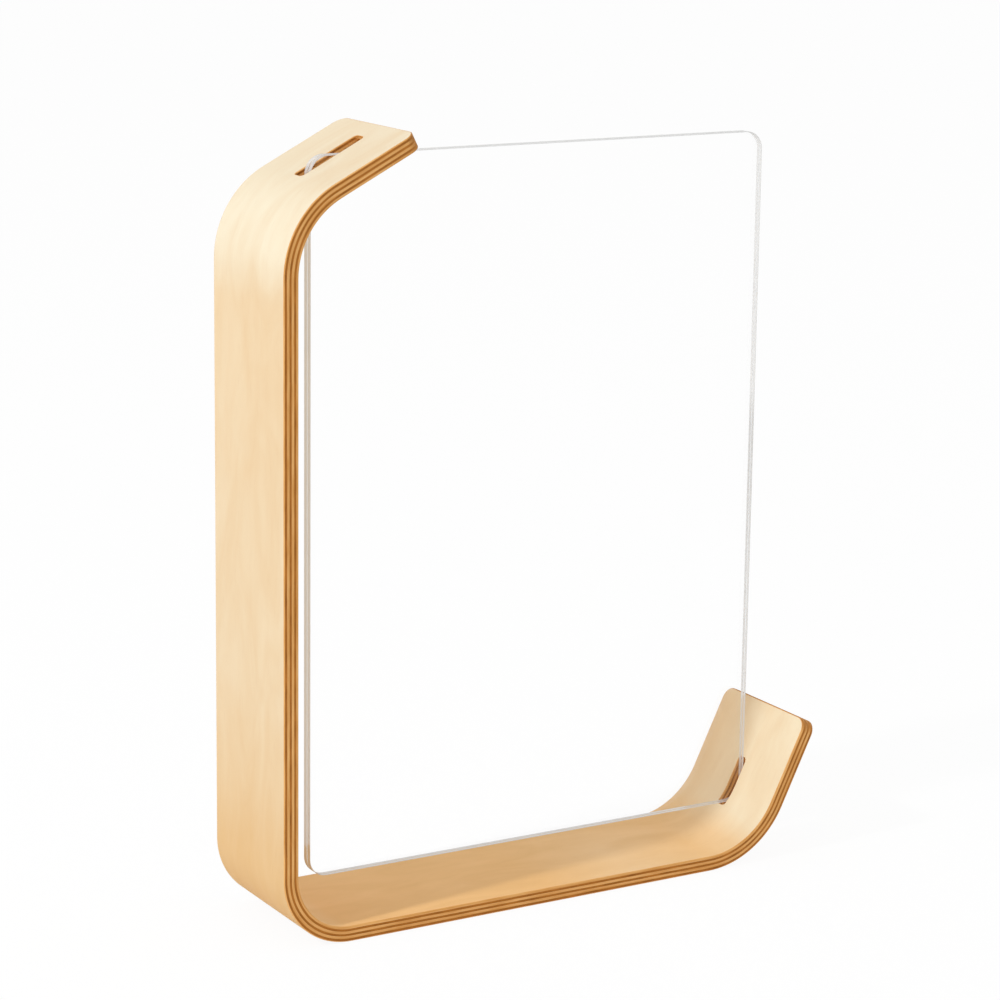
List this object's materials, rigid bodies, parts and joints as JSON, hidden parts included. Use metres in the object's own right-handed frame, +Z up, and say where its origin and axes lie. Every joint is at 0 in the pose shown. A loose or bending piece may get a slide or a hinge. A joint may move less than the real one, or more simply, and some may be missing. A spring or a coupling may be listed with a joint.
{
  "type": "photo frame",
  "caption": "Double-sided tabletop photo frame: clear acrylic sheets held by two opposite corners in slots of a bent plywood band that is foot, upright, top arm and lip.",
  "frame": {"origin": "bottom centre of the whole outline, on the surface that the foot stands on", "axes": "+Z up, +X along the foot from the upright to the lip, -Y towards the viewer of the front sheet"},
  "size_m": [0.1602, 0.0384, 0.2015],
  "materials": {
    "face_veneer": "satin clear lacquer on birch face veneer, grain along the band",
    "core_ply": "sanded ply edge, light band",
    "cross_ply": "sanded end-grain ply edge, dark band",
    "acrylic": "clear and polished, with flame-polished edges"
  },
  "bodies": {
    "band": {"outer_face_veneer": "face_veneer", "outer_cross_ply": "cross_ply", "outer_core_ply": "core_ply", "middle_cross_ply": "cross_ply", "inner_core_ply": "core_ply", "inner_cross_ply": "cross_ply", "inner_face_veneer": "face_veneer"},
    "front_sheet": {"front_acrylic_sheet": "acrylic"},
    "back_sheet": {"back_acrylic_sheet": "acrylic"}
  },
  "joints": [
    {"name": "front_sheet_play", "type": "slide", "parent": "band", "child": "front_sheet", "axis": [0, -1, 0], "range_m": [0, 0.00035]},
    {"name": "back_sheet_play", "type": "slide", "parent": "band", "child": "back_sheet", "axis": [0, 1, 0], "range_m": [0, 0.00035]}
  ]
}
